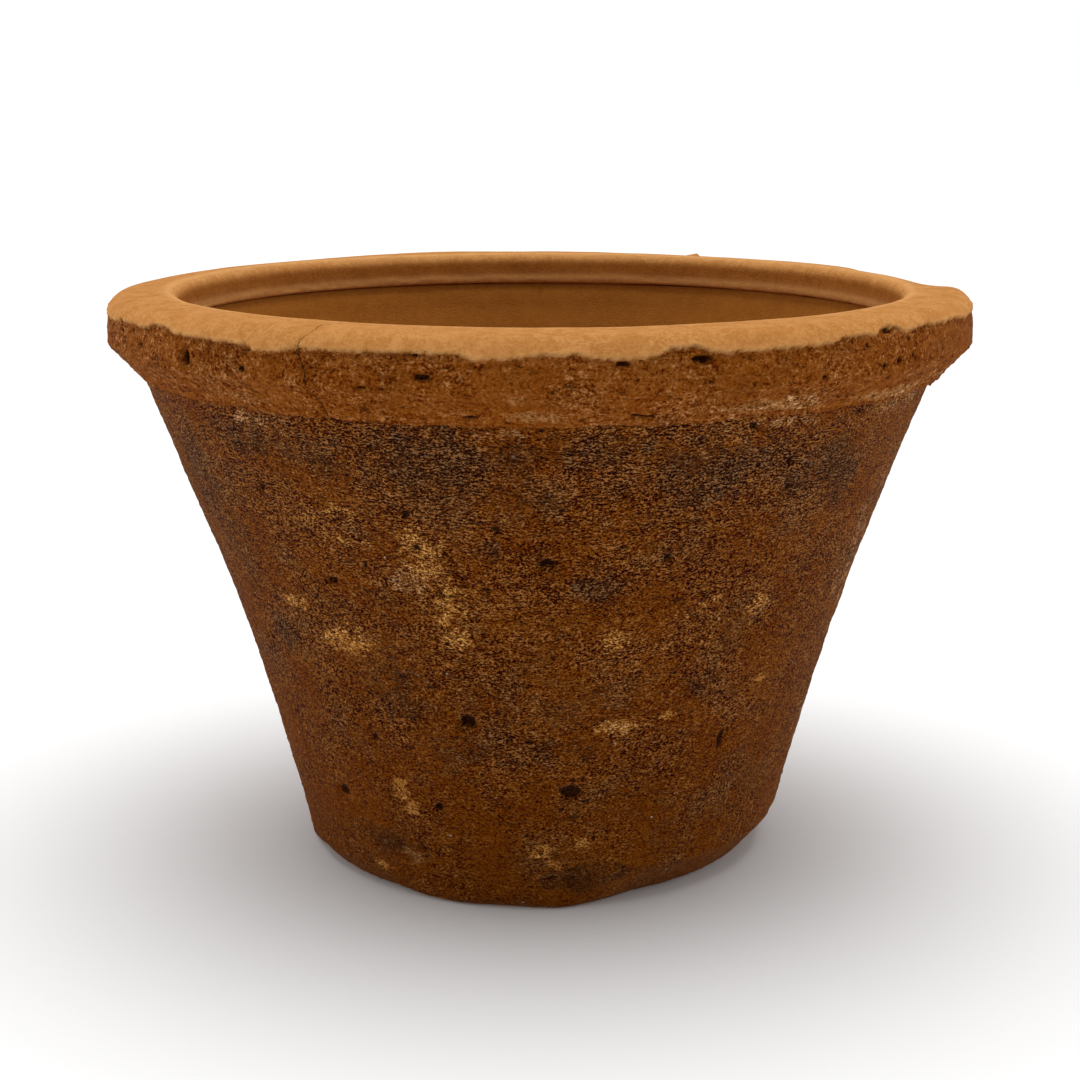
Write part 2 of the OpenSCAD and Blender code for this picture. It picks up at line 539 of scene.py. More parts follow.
PITS = (  # turn, height, wide, tall, depth
    (-57, 87, 3, 2.5, 1.2), (-43, 146, 3, 3, 1.0), (-34, 116, 4.5, 2.2, 1.8), (-27, 124, 2.5, 2.5, 1.2),
    (-19, 142, 4, 2.2, 1.8), (-18, 131, 3, 2, 1.4), (-6, 138, 2.6, 2.4, 1.6), (1, 127, 5.4, 2.8, 2.4),
    (3, 145, 2, 2, 1.0), (12, 132, 3.5, 2, 0.8), (19, 127, 3.2, 2.8, 1.8), (-8, 118, 2.2, 2.2, 1.0),
    (36, 156, 3.4, 2.6, 1.8), (37, 147, 2.4, 2.2, 1.2), (39, 100, 3.8, 2, 1.6), (-13, 70, 5.4, 5, 2.4),
    (-2, 64, 3, 2, 1.0), (-21, 37, 3.4, 3.4, 1.6), (-46, 35, 5, 4, 0.8), (6, 45, 7.5, 4.5, 1.6),
    (28, 169, 4, 2.2, 1.4), (37, 58, 1.6, 9, 0.6), (9, 42, 2.5, 1.6, 0.8), (-33, 60, 3, 3, 1.0),
    (95, 140, 5, 3, 2.0), (118, 88, 4, 4, 1.6), (150, 120, 6, 3, 2.2), (171, 60, 4, 3, 1.6),
    (-160, 150, 4, 3, 1.8), (-139, 98, 6, 4, 1.6), (-120, 52, 4, 3, 1.6), (-101, 132, 5, 2.5, 2.0),
    (-84, 74, 4, 3, 1.4), (79, 62, 4, 3, 1.4), (133, 30, 5, 4, 1.4), (-171, 101, 3, 3, 1.2),
)
# Each pit is cut into the mesh, and its mask is painted dark later as painted shade in the hole.
for turn, height, wide, tall, depth in PITS:
    for piece in (wall, floor):
        skin = skins[piece.name]
        hole = spot(skin, turn, height, wide, tall) * skin["rough"]
        skin["push"] -= depth * hole
        skin["pit"] = np.maximum(skin["pit"], hole)
print(len(PITS), "pits placed by hand")

# %% [markdown]
# The foot has been knocked and rubbed away. Each cut is a slanting bevel, deepest at the ground, and the
# widest one takes off a quarter of the edge. A cut draws the points straight in towards the axis, so the
# underside shrinks with the edge. The scar shows the redder clay under the weathered skin.

# %% Cut the foot away
FOOT_CUTS = (  # turn, half its spread in degrees, depth at the ground, height
    (50, 46, 8.4, 13), (84, 15, 6.5, 15), (-52, 26, 3.2, 7), (150, 16, 3, 8), (-118, 14, 2.5, 7),
    (-8, 8, 1.2, 4),
)
skin = skins[floor.name]
for turn, spread, depth, height in FOOT_CUTS:
    away = np.abs(past_turn(skin, turn))
    share = ease(spread, spread * 0.5, away) * np.clip(1 - skin["z"] / height, 0, 1)
    share *= ease(foot_r / MM - 2.4 * depth, foot_r / MM - 1, skin["r"])
    share *= 1 + relief(skin, drag=0.15, lumps=0.12)
    skin["pull"] = np.maximum(skin["pull"], depth * share)
skin["scar"] = ease(0.3, 2.5, skin["pull"])

# %% [markdown]
# The collar's top was wiped with a wet cloth, which drew fine clay out over the shoulder. There it ends in
# a torn edge, and the face below it is coarse. The line where it ends wanders, with a few larger tears. The
# face lies a little deeper than the wiped skin, and a burr of dried slip stands along the line; the burr is
# painted pale with a painted highlight, and a thin line of painted shade lies under it. A place on the
# collar is given by its fall: how many millimetres it lies past the outer edge of the flat land on top,
# along the skin. The shoulder ends at 12.6, the upright face at 21.6 and the slope under it at 36.6. The
# land is below 0.

# %% Tear the collar's edge
skin = skins[collar.name]
from_land = np.hypot(collar_section[:, 0] - rim_r + shoulder_r, collar_section[:, 1] - pot_h)
land_edge = collar_section[np.argmin(from_land), ALONG_COLUMN] / MM
skin["fall"] = land_edge - skin["along"]
TEARS = (  # turn, spread in degrees, how much further down the wiped skin reaches
    (-52, 3, -1.8), (-32, 3, 1.6), (-5, 4, 1.5), (9, 4, 1.5), (16, 2.5, -2.0), (39, 3, -1.4), (45, 2.5, -2.8),
    (57, 9, -1.5), (-72, 6, 1.4), (88, 5, -1.6), (112, 7, 1.6), (131, 4, -2.2), (158, 6, 1.4),
    (-170, 5, -1.8), (-141, 8, 1.5), (-122, 4, -2.4), (-98, 6, 1.3),
)
torn = 10.0 + relief(skin, slow=0.9, drag=0.9, grit=0.9, lumps=0.7)
for turn, spread, shift in TEARS:
    torn += shift * ease(spread * 1.3, spread * 0.5, np.abs(past_turn(skin, turn)))
below = skin["fall"] - torn
on_collar_out = (skin["fall"] > -1) * skin["seen"]
skin["rough"] = on_collar_out * ease(-0.25, 0.35, below)
burred = ease(-0.4, 0.6, relief(skin, drag=1, grit=0.5))
# The burr's mask is painted pale later: dried slip with a painted highlight along the torn edge.
skin["burr"] = on_collar_out * ridge(below, -0.3, 0.8) * burred
skin["push"] += skin["seen"] * (relief(skin, lumps=0.18, slow=0.3) - 0.25)
torn_zone = ease(7, 0, below)
skin["push"] += skin["rough"] * relief(skin, drag=0.34 + 0.5 * torn_zone, grit=0.26 + 0.35 * torn_zone)
skin["push"] -= skin["rough"] * (0.6 * skin["pores"] + 0.25 + 0.6 * torn_zone)
skin["push"] += 0.6 * skin["burr"]
# The collar's pores are painted dark later through this mask, as painted shade in them.
skin["pit"] = skin["rough"] * skin["pores"]
# A thin line under the torn edge is pushed in and painted dark through the pit mask: painted shade under the
# burr.
undercut = ridge(below, 1.1, 0.7) * ease(-0.1, 0.7, relief(skin, grit=1, drag=0.5))
skin["pit"] = np.maximum(skin["pit"], 0.75 * undercut * skin["rough"])
skin["push"] -= 0.5 * undercut * skin["rough"]

# %% [markdown]
# The shoulder is worn back in places, most of all at the right, where the rough clay shows through a chip.
# The mouth's rounded edge is painted pale: a painted highlight, partly rubbed pale clay. The inner face
# below it is painted darker than the land. Pits follow, as on the wall.

# %% Wear the collar and pit it
WORN_EDGE = (  # turn, spread in degrees, how deep
    (104, 14, 4.2), (132, 32, 1.7), (-118, 34, 1.3), (175, 16, 0.6), (-60, 20, 0.5),
)
for turn, spread, depth in WORN_EDGE:
    worn = ease(spread * 1.4, spread * 0.4, np.abs(past_turn(skin, turn))) * ridge(skin["fall"], 4, 9)
    skin["push"] -= depth * worn * skin["seen"]
chipped = 0.8 * spot(skin, 110, 6, 22, 5, "fall", 0.5, 0.8)
skin["rough"] = np.maximum(skin["rough"], chipped)
skin["soot"] = np.maximum(skin["soot"], 0.7 * chipped)
# A painted highlight along the mouth's rounded edge, partly rubbed pale clay.
skin["worn"] = ridge(skin["fall"], -13.5, 2.2) * skin["seen"]
# The inner face below the mouth's edge is painted darker, less so down at the bead.
skin["damp"] = ease(-16.5, -20, skin["fall"]) * (1 - 0.9 * ease(-25, -26.5, skin["fall"])) * skin["seen"]
COLLAR_PITS = (  # turn, fall, wide, tall, depth
    (-46, 17, 5, 4.6, 3.4), (-13, 17, 5, 2, 1.8), (9, 13, 4.5, 1.6, 1.4), (18, 12.2, 6, 2.4, 3.0),
    (45, 7.5, 3.2, 2.6, 2.2), (47, 18, 3, 2.4, 1.8), (50, 17, 2, 2, 1.2), (44, 19, 2, 2, 1.0),
    (-8, 33, 6, 1.6, 1.4), (12, 33, 8, 1.6, 1.4), (-64, 14, 2.6, 2.2, 1.6), (-60, 12, 2, 2, 1.2),
    (-57, 16, 2.4, 2, 1.4), (-67, 19, 2, 2, 1.2), (-70, 13, 2.2, 2, 1.2), (-36, 18, 3, 1.6, 1.0),
    (-20, 21, 3.4, 1.4, 1.0), (34, 20, 2.4, 1.6, 1.2), (80, 15, 4, 2.4, 2.0), (104, 18, 3, 3, 1.8),
    (127, 13, 5, 2, 2.0), (149, 20, 4, 2, 1.6), (170, 15, 3, 3, 2.0), (-163, 18, 5, 2, 1.6),
    (-146, 13, 3, 2, 1.6), (-128, 19, 4, 2.4, 1.8), (-109, 15, 3, 3, 1.6), (-88, 17, 4, 2, 1.8),
)
# These pits are cut in too, and painted dark later as painted shade in them.
for turn, fall, wide, tall, depth in COLLAR_PITS:
    hole = spot(skin, turn, fall, wide, tall, "fall", 0.22) * ease(3, 5, skin["fall"])
    skin["push"] -= depth * hole
    skin["pit"] = np.maximum(skin["pit"], hole)
print(len(COLLAR_PITS), "pits and", len(WORN_EDGE), "worn places on the collar")

# %% [markdown]
# A drying crack runs out across the collar's top, over the shoulder and down its face, with one short
# branch. Its path is a few turns against how far it has come. A mask holds the distance to it, with a sign,
# which stays sharp between the points of the mesh. The mesh has closer columns there, for the groove
# itself.

# %% Crack the collar
CRACK_PATH = (  # fall, turn
    (-16, -25.2), (-9, -25.8), (-5, -26.6), (-1, -26.9), (3, -26.4), (8, -27.6),
    (12, -28.0), (15, -27.4), (18, -27.0), (22, -26.9), (27, -26.5), (34, -26.3),
)
BRANCH_FALL, BRANCH_TURN, BRANCH_HALF = 15.5, -26.8, 4
fall_steps, turn_steps = np.array(CRACK_PATH).T
crack_at = np.interp(skin["fall"], fall_steps, turn_steps)
aside = round_from(skin, crack_at) + 0.25 * skin["grit"]
reach = ease(-15, -12, skin["fall"]) * ease(36, 33, skin["fall"]) * skin["seen"]
groove = ridge(aside, 0, 0.45) * reach
branch = ridge(skin["fall"] + 0.4 * skin["drag"], BRANCH_FALL, 0.5)
branch *= ease(BRANCH_HALF + 0.5, BRANCH_HALF - 0.5, np.abs(round_from(skin, BRANCH_TURN)))
skin["push"] -= (0.9 * groove + 0.5 * branch) * (0.15 + 0.85 * skin["rough"])
skin["crack"] = np.where(reach > 0, np.clip(aside, -NO_CRACK, NO_CRACK), NO_CRACK)
# The branch is painted dark through the pit mask, as painted shade in its groove.
skin["pit"] = np.maximum(skin["pit"], 0.9 * branch)
print("crack is cut into", int((groove > 0.1).sum()), "points")

# %% [markdown]
# Inside the mouth the collar was pressed on with a thumb, and the squeezed clay makes a bead. It runs even
# on one side of the pot. On the other it wanders and leaves a second fold. Outside, the skirt's edge was
# smeared down by hand, so it is ragged and partly closed.

# %% Press the bead and smear the skirt


def wavy_side(skin):
    """A mask that is 1 on the side where the bead wanders."""
    return ease(75, 40, np.abs(past_turn(skin, -150)))


over_seat = skin["z"] - seat_z / MM
bead = ease(0.7, 1.9, over_seat) * ease(5.5, 3.5, over_seat) * (skin["out"] < 0) * skin["seen"]
wander = wavy_side(skin) * relief(skin, lumps=0.9, drag=0.5)
skin["push"] += bead * (0.35 * skin["slow"] + wander - 0.2)
# The bead's crest gets a painted highlight through the same mask.
skin["worn"] = np.maximum(skin["worn"], 0.6 * bead)
skirt = ease(30, 36, skin["fall"]) * skin["seen"]
skin["push"] += skirt * relief(skin, drag=0.7, grit=0.5, lumps=1.3)
slope = ease(20, 26, skin["fall"]) * ease(36, 31, skin["fall"])
skin["push"] += slope * (relief(skin, drag=0.5, grit=0.45) - 0.2)
inner = skins[wall.name]
over_seat = inner["z"] - seat_z / MM
fold = ridge(over_seat + 1.2 * inner["lumps"], -3, 1.3) * (inner["out"] < 0) * ease(-0.1, -2, over_seat)
inner["push"] += 1.1 * fold * wavy_side(inner) * inner["seen"]
print("bead stands on", int((bead > 0.5).sum()), "points and the second fold on", int((fold > 0.5).sum()))

# %% [markdown]
# The stains come next. Smoke in the kiln left grey soot under the collar and in low places. Ochre and pale
# lime came out with the water that passes through a used pot. The masks say only where each stain is
# likely, and the finish breaks them up into specks.

# %% Lay out the stains
STAINS = {  # turn, height, wide, tall, strength
    "soot": (
        (-14, 162, 46, 24, 1.0), (22, 156, 40, 26, 0.9), (-42, 162, 40, 14, 1.0), (-51, 92, 16, 16, 1.0),
        (-8, 131, 14, 9, 0.9), (8, 118, 18, 10, 1.0), (66, 109, 14, 22, 0.9), (-35, 20, 26, 12, 0.9),
        (9, 12, 40, 12, 1.0), (-4, 60, 60, 14, 0.7), (34, 80, 30, 16, 0.8), (-60, 140, 24, 50, 0.9),
        (5, 165, 60, 14, 0.85), (0, 158, 240, 34, 0.62), (45, 150, 40, 30, 0.8), (-26, 74, 26, 14, 0.9),
        (-22, 84, 16, 10, 0.8), (120, 150, 60, 30, 0.9), (165, 90, 50, 40, 0.8), (-150, 158, 70, 22, 1.0),
        (-105, 100, 40, 36, 0.9), (100, 60, 40, 20, 0.7),
    ),
    "ochre": (
        (-18, 128, 18, 26, 0.9), (-14, 112, 22, 20, 0.85), (-44, 106, 14, 7, 1.0), (-34, 95, 24, 12, 1.0),
        (-13, 100, 12, 8, 0.9), (-29, 42, 9, 11, 1.0), (-27, 35, 8, 7, 1.0), (-38, 9, 12, 5, 0.9),
        (0, 23, 10, 7, 1.0), (9, 26, 7, 5, 1.0), (3, 17, 9, 6, 1.0), (12, 99, 10, 10, 0.9),
        (24, 71, 12, 5, 0.9), (38, 108, 10, 6, 1.0), (44, 78, 10, 5, 0.9), (14, 69, 24, 6, 1.0),
        (-30, 138, 34, 30, 0.55), (30, 104, 60, 30, 0.5), (92, 110, 24, 20, 0.9), (140, 70, 30, 24, 0.9),
        (-175, 120, 26, 22, 0.9), (-130, 70, 26, 18, 0.9), (-90, 130, 18, 20, 0.8),
        (175, 30, 20, 14, 0.9),
    ),
    "lime": (
        (-20, 120, 16, 12, 0.8), (14, 69, 20, 5, 0.6), (-29, 16, 14, 7, 0.6), (70, 115, 44, 90, 0.56),
        (-80, 110, 26, 90, 0.56), (76, 40, 40, 50, 0.56), (32, 170, 50, 5, 0.7), (58, 169, 44, 6, 0.75),
        (-40, 169, 28, 6, 0.7), (-4, 169, 30, 5, 0.6), (110, 40, 30, 16, 0.7), (-115, 30, 30, 18, 0.7),
        (150, 168, 90, 8, 0.8), (-120, 168, 80, 8, 0.8),
    ),
}
for piece in (wall, floor):
    skin = skins[piece.name]
    for stain, places in STAINS.items():
        for turn, height, wide, tall, strength in places:
            patch = spot(skin, turn, height, wide, tall, ragged=0.45, soft=1.4) * skin["rough"]
            skin[stain] = np.maximum(skin[stain], patch * strength)
skin = skins[collar.name]
CRUSTS = (  # turn, fall, wide, tall, strength
    (30, 31, 40, 7, 1.0), (51, 33, 46, 6, 0.9), (-1, 32, 22, 6, 0.8), (-38, 31, 34, 5, 0.6),
    (66, 30, 40, 6, 0.6), (16, 22, 12, 8, 0.4), (-3, 24, 14, 10, 0.5), (100, 31, 50, 7, 0.8),
    (150, 30, 60, 6, 0.8), (-150, 31, 60, 7, 0.8), (-100, 32, 40, 6, 0.8),
)
for turn, fall, wide, tall, strength in CRUSTS:
    patch = spot(skin, turn, fall, wide, tall, "fall", 0.45, 1.2) * skin["rough"]
    skin["lime"] = np.maximum(skin["lime"], patch * strength)
smoked = 0.5 * ease(0.1, 0.8, skin["slow"])
smoked += 0.6 * ease(26, 33, skin["fall"]) * ease(-0.2, 0.6, skin["lumps"])
skin["soot"] = np.maximum(skin["soot"], smoked * skin["rough"])
print(sum(map(len, STAINS.values())) + len(CRUSTS), "stains laid out")

# %% [markdown]
# Now the points move, once. Nothing may leave the pot's own box, so the few points that would are held at
# it. The edges where the joints begin are marked sharp, or the shading would smear round them.

# %% Move the points


def finish_skin(piece):
    """Moves the points by their push, stores the masks and marks the sharp rings."""
    skin, mesh = skins[piece.name], piece.data
    place = skin["position"] + skin["facing"] * (skin["push"] * MM)[:, None]
    radius = np.maximum(np.hypot(place[:, 0], place[:, 1]), MM)
    place[:, :2] *= (np.minimum(rim_r, radius - skin["pull"] * MM) / radius)[:, None]
    place[:, 2] = np.clip(place[:, 2], 0, pot_h)
    mesh.vertices.foreach_set("co", place.astype(np.float32).ravel())
    edges = np.empty(len(mesh.edges) * 2, np.int32)
    mesh.edges.foreach_get("vertices", edges)
    a, b = edges.reshape(-1, 2).T
    sharp = (skin["crease"][a] > 0) & (skin["crease"][b] > 0) & (skin["row"][a] == skin["row"][b])
    mesh.attributes.new("sharp_edge", "BOOLEAN", "EDGE").data.foreach_set("value", sharp)
    for name in RING_FIELDS:
        mesh.attributes.remove(mesh.attributes[name])
    for mask in MASKS:
        mesh.attributes.new(mask, "FLOAT", "POINT").data.foreach_set("value", skin[mask].astype(np.float32))
    mesh.update()
    print(piece.name, "moved by", round(skin["push"].min(), 2), "to", round(skin["push"].max(), 2), "mm")


for piece in (wall, floor, collar):
    finish_skin(piece)

# %% [markdown]
# ## The finish
# Both skins are the same clay, so they share their effects. Each effect is a node group with named inputs,
# and gives out only a mask or a height, which each material then turns into its own colours. The first is
# the grain of coarse clay. Lumps and grains are two noises, laid flat by the scraping, and finer sand is a
# third. A bent band pattern adds the wrinkles that a scraper drags up in leather-hard clay, and a noise
# drawn out sideways adds its streaks. A noise texture's scale is in lumps for each metre.

# %% Build the grain group


def effect(name, inputs, output):
    """An empty shader node group with those inputs and one output, and its two end nodes."""
    tree = bpy.data.node_groups.new(name, "ShaderNodeTree")
    socket(tree, "Vector", "Vector")
    for label, value in inputs.items():
        socket(tree, label, value=value)
    socket(tree, output, way="OUTPUT")
    return tree, add(tree, "NodeGroupInput").outputs, add(tree, "NodeGroupOutput").inputs


def noise_at(tree, vector, scale, detail=2.0, rough=0.5, bent=0.0):
    """The value of one noise texture, which is 0.5 on average."""
    values = {"Vector": vector, "Scale": scale, "Detail": detail, "Roughness": rough, "Distortion": bent}
    return add(tree, "ShaderNodeTexNoise", values).outputs[0]


def eased(tree, value, low, high, to_low=0.0, to_high=1.0):
    """A smooth step, from 0 at low to 1 at high unless other ends are given."""
    values = {"Value": value, "From Min": low, "From Max": high, "To Min": to_low, "To Max": to_high}
    return add(tree, "ShaderNodeMapRange", values, interpolation_type="SMOOTHSTEP").outputs[0]


def stretched(tree, place, flatness):
    """A place whose noise comes out that many times wider than tall."""
    values = {0: place, 1: (1.0, 1.0, flatness)}
    return add(tree, "ShaderNodeVectorMath", values, operation="MULTIPLY").outputs[0]


def grain_group():
    """Grain of coarse clay, 0 to 1, Size millimetres wide and less tall by Flatness."""
    inputs = {"Size": 0.9, "Flatness": 1.7, "Sand": 0.66, "Wrinkle": 0.0, "Streak": 0.0, "Contrast": 4.0}
    tree, given, result = effect("clay_grain", inputs, "Height")

    def around_zero(value):
        return sums(tree, "SUBTRACT", value, 0.5)

    squash = add(tree, "ShaderNodeCombineXYZ", {0: 1.0, 1: 1.0, 2: given["Flatness"]}).outputs[0]
    flat = add(tree, "ShaderNodeVectorMath", {0: given["Vector"], 1: squash}, operation="MULTIPLY").outputs[0]
    drawn = stretched(tree, given["Vector"], 5.0)
    scale = ratio(tree, 1000.0, given["Size"])
    lumps = noise_at(tree, flat, times(tree, scale, 0.4), 2.0, 0.7, 0.9)
    grains = noise_at(tree, flat, scale, 0.0)
    fine = noise_at(tree, given["Vector"], times(tree, scale, 2.1), 0.0)
    sand = sums(tree, "MULTIPLY_ADD", grains, 0.6, times(tree, fine, 0.4))
    apart = times(tree, sums(tree, "SUBTRACT", sand, lumps), given["Sand"])
    bands = {"Vector": given["Vector"], "Scale": times(tree, scale, 0.26), "Distortion": 13.0, "Detail": 2.0,
             "Detail Scale": 1.0, "Detail Roughness": 0.6}
    wrinkle = add(tree, "ShaderNodeTexWave", bands, bands_direction="Z").outputs["Fac"]
    patchy = eased(tree, noise_at(tree, given["Vector"], times(tree, scale, 0.1), 1.0), 0.35, 0.6, 0.25, 1.0)
    wrinkle = times(tree, around_zero(wrinkle), times(tree, given["Wrinkle"], patchy))
    streak = around_zero(noise_at(tree, drawn, times(tree, scale, 0.13), 3.0, 0.6))
    streak = times(tree, streak, given["Streak"])
    clods = sums(tree, "ADD", around_zero(lumps), apart)
    total = sums(tree, "ADD", clods, sums(tree, "ADD", wrinkle, streak))
    height = sums(tree, "MULTIPLY_ADD", total, given["Contrast"], 0.5, clamp=True)
    tree.links.new(height, result["Height"])
    return tree


# %% [markdown]
# The second effect breaks a broad mask into crumbs. Where the mask is strong nearly all of the noise passes
# the threshold, and where it is weak only the highest crumbs do. The third scatters single grains.

# %% Build the stain and speck groups


def stain_group():
    """Breaks Where into crumbs of Size millimetres. Cover is how much of a full mask is filled."""
    inputs = {"Where": 0.0, "Size": 3.0, "Cover": 0.5, "Soft": 0.1}
    tree, given, result = effect("clay_stain", inputs, "Mask")
    scale = ratio(tree, 1000.0, given["Size"])
    broken = noise_at(tree, given["Vector"], scale, 4.0, 0.7, 0.5)
    level = sums(tree, "SUBTRACT", 0.8, times(tree, given["Where"], given["Cover"]))
    low = sums(tree, "SUBTRACT", level, given["Soft"])
    mask = eased(tree, broken, low, sums(tree, "ADD", level, given["Soft"]))
    inside = eased(tree, given["Where"], 0.0, 0.15)
    tree.links.new(times(tree, mask, inside), result["Mask"])
    return tree


def speck_group():
    """Single grains: one in each cell of Spacing millimetres, kept for a Share of the cells."""
    tree, given, result = effect("clay_speck", {"Spacing": 5.0, "Share": 0.2, "Width": 0.16}, "Mask")
    scale = ratio(tree, 1000.0, given["Spacing"])
    cell = add(tree, "ShaderNodeTexVoronoi", {"Vector": given["Vector"], "Scale": scale}).outputs
    chance = add(tree, "ShaderNodeSeparateColor", {0: cell["Color"]}).outputs
    width = times(tree, given["Width"], sums(tree, "ADD", chance[1], 0.5))
    dot = eased(tree, cell["Distance"], width, times(tree, width, 0.4))
    kept = sums(tree, "LESS_THAN", chance[0], given["Share"])
    tree.links.new(times(tree, dot, kept), result["Mask"])
    return tree


grain, stain, speck = grain_group(), stain_group(), speck_group()
print("effects:", [tree.name for tree in (grain, stain, speck)])

# %% [markdown]
# A clay is laid up like paint. Its grain runs from dark hollows through the body colour to pale tops, as
# one row of colours: the dark hollows are painted shade and the pale tops a painted highlight, over the
# grain's own tone. A stain is another row, laid over the first where its mask says, so the grain and its
# painted shade and highlight show through it. The rows are written as they are seen, and made brighter for
# the studio's dim light.

# %% Mix the colours
GAIN, BRIGHTEST = 1.55, 0.9
# Each row runs from painted shade in the grain's hollows to a painted highlight on its tops.
SHADED_STAIN_ROWS = {  # from the hollows of the grain to its tops
    "olive": ((0.010, 0.0022, 0.0003), (0.038, 0.0095, 0.0013), (0.074, 0.0255, 0.0048),
              (0.112, 0.046, 0.0130), (0.19, 0.096, 0.038)),
    "soot": ((0.005, 0.0005, 0.0001), (0.018, 0.0038, 0.0006), (0.036, 0.0112, 0.0023),
             (0.067, 0.0260, 0.0076), (0.138, 0.067, 0.027)),
    "ochre": ((0.040, 0.0060, 0.0004), (0.105, 0.0300, 0.0020), (0.210, 0.0800, 0.0140),
              (0.31, 0.140, 0.0300), (0.45, 0.22, 0.066)),
    "lime": ((0.050, 0.0120, 0.0010), (0.110, 0.0400, 0.0080), (0.200, 0.0900, 0.0280),
             (0.30, 0.150, 0.0600), (0.46, 0.27, 0.13)),
}


def lit(colours):
    """Colours as they are seen, made bright enough for the studio light."""
    return [[min(BRIGHTEST, part * GAIN) for part in colour] for colour in colours]


def row(tree, value, colours):
    """Evenly spaced colours, picked by a value from 0 to 1."""
    node = add(tree, "ShaderNodeValToRGB", {0: value})
    stops = node.color_ramp.elements
    while len(stops) < len(colours):
        stops.new(0.5)
    for number, colour in enumerate(colours):
        stops[number].position = number / (len(colours) - 1)
        stops[number].color = (*colour, 1)
    return node.outputs[0]


def paint(tree, below, colour, mask, amount=1.0):
    """A colour laid over the one below where the mask is 1."""
    if not isinstance(colour, bpy.types.NodeSocket):
        colour = (*colour, 1)
    values = {0: times(tree, mask, amount), 6: below, 7: colour}
    return add(tree, "ShaderNodeMix", values, data_type="RGBA").outputs[2]


def placed(tree, kind, place, **values):
    """The result of an effect, placed in a material with its own values."""
    node = add(tree, "ShaderNodeGroup", node_tree=kind)
    for key, value in {"Vector": place, **values}.items():
        if isinstance(value, bpy.types.NodeSocket):
            tree.links.new(value, node.inputs[key])
        else:
            node.inputs[key].default_value = value
    return node.outputs[0]


print("rows of colours:", list(SHADED_STAIN_ROWS))

# %% [markdown]
# The outside is one paint job from the bottom up: body clay, drier clay in drifts, an olive bloom, the
# stains, the scar on the foot, single grains of ash and chalk, and dark dots of painted shade in the pores.
# Last come the clefts, thin gaps between the crumbs painted dark as painted shade.
# The grain is calmer low on the pot and in patches, and the scraper's wrinkles are only high up.

# %% Paint the rough skin
STAIN_LAYERS = (  # stain, size in millimetres, cover, softness, amount
    ("soot", 11.0, 0.43, 0.14, 0.8), ("ochre", 5.0, 0.40, 0.07, 0.95), ("lime", 5.0, 0.42, 0.14, 0.72),
)
SCAR, ASH, CHALK = (0.105, 0.030, 0.003), (0.25, 0.19, 0.12), (0.50, 0.41, 0.31)
# Painted shade: dark dots in the pores and thin dark lines in the clefts.
PORE_SHADE, CLEFT_SHADE = (0.015, 0.0035, 0.001), (0.020, 0.0045, 0.001)


def grain_height(tree, place, contrast, wrinkle, **values):
    """The height of the grain, from 0 to 1. Contrast is given low on the pot and high up."""
    level = add(tree, "ShaderNodeSeparateXYZ", {0: place}).outputs[2]
    calm = eased(tree, level, 10 * MM, 75 * MM, *contrast)
    patches = eased(tree, noise_at(tree, place, 48.0, 3.0, 0.6), 0.36, 0.62, 1.12, 0.62)
    calm = times(tree, calm, patches)
    drawn = eased(tree, level, 95 * MM, 150 * MM, 0.02, wrinkle)
    return placed(tree, grain, place, Wrinkle=drawn, Contrast=calm, **values)


def rough_skin(tree, place, mask, height, body, dry, bloom):
    """The colour of the torn, stained clay, with painted shade in its pores and clefts, and a mask of those
    pores and clefts.
    """
    # Each row is picked by the grain's height, so its hollows get painted shade and its tops a painted
    # highlight.
    colour = row(tree, height, lit(body))
    drift = eased(tree, noise_at(tree, place, 34.0, 3.0, 0.62), 0.42, 0.66)
    colour = paint(tree, colour, row(tree, height, lit(dry)), drift, 0.8)
    shifted = add(tree, "ShaderNodeVectorMath", {0: place, 1: (0.3, 0.7, 0.1)}, operation="ADD").outputs[0]
    olive = eased(tree, noise_at(tree, shifted, 42.0, 7.0, 0.72), 0.50, 0.62)
    colour = paint(tree, colour, row(tree, height, lit(SHADED_STAIN_ROWS["olive"])), olive, bloom)
    crumbs = {}
    for name, size, cover, soft, amount in STAIN_LAYERS:
        crumbs[name] = placed(tree, stain, place, Where=mask[name], Size=size, Cover=cover, Soft=soft)
        colour = paint(tree, colour, row(tree, height, lit(SHADED_STAIN_ROWS[name])), crumbs[name], amount)
    colour = paint(tree, colour, lit([SCAR])[0], mask["scar"], 0.3)
    ash = placed(tree, speck, place, Spacing=2.6, Share=0.22, Width=0.22)
    colour = paint(tree, colour, ASH, times(tree, ash, crumbs["soot"]), 0.5)
    chalk = placed(tree, speck, place, Spacing=6.0, Share=0.2, Width=0.07)
    colour = paint(tree, colour, CHALK, chalk, 0.7)
    # Dark dots of painted shade in the pores.
    pore_dots = placed(tree, speck, place, Spacing=3.4, Share=0.22, Width=0.22)
    colour = paint(tree, colour, PORE_SHADE, pore_dots, 0.8)
    # Thin clefts between the crumbs, painted dark as painted shade.
    cleft = eased(tree, noise_at(tree, stretched(tree, place, 3.0), 190.0, 4.0, 0.66, 0.5), 0.375, 0.325)
    return paint(tree, colour, CLEFT_SHADE, cleft, 0.6), sums(tree, "MAXIMUM", pore_dots, cleft)


# %% [markdown]
# The wiped skin of the rim and the inside is plainer: a soft mottle, an inner face painted darker, a painted
# highlight on the mouth's edge and the bead, partly rubbed pale clay, and a few pinholes painted dark as
# painted shade. The crack takes a wandering line of painted shade round its mask, so it is sharper than the
# mesh could hold it.

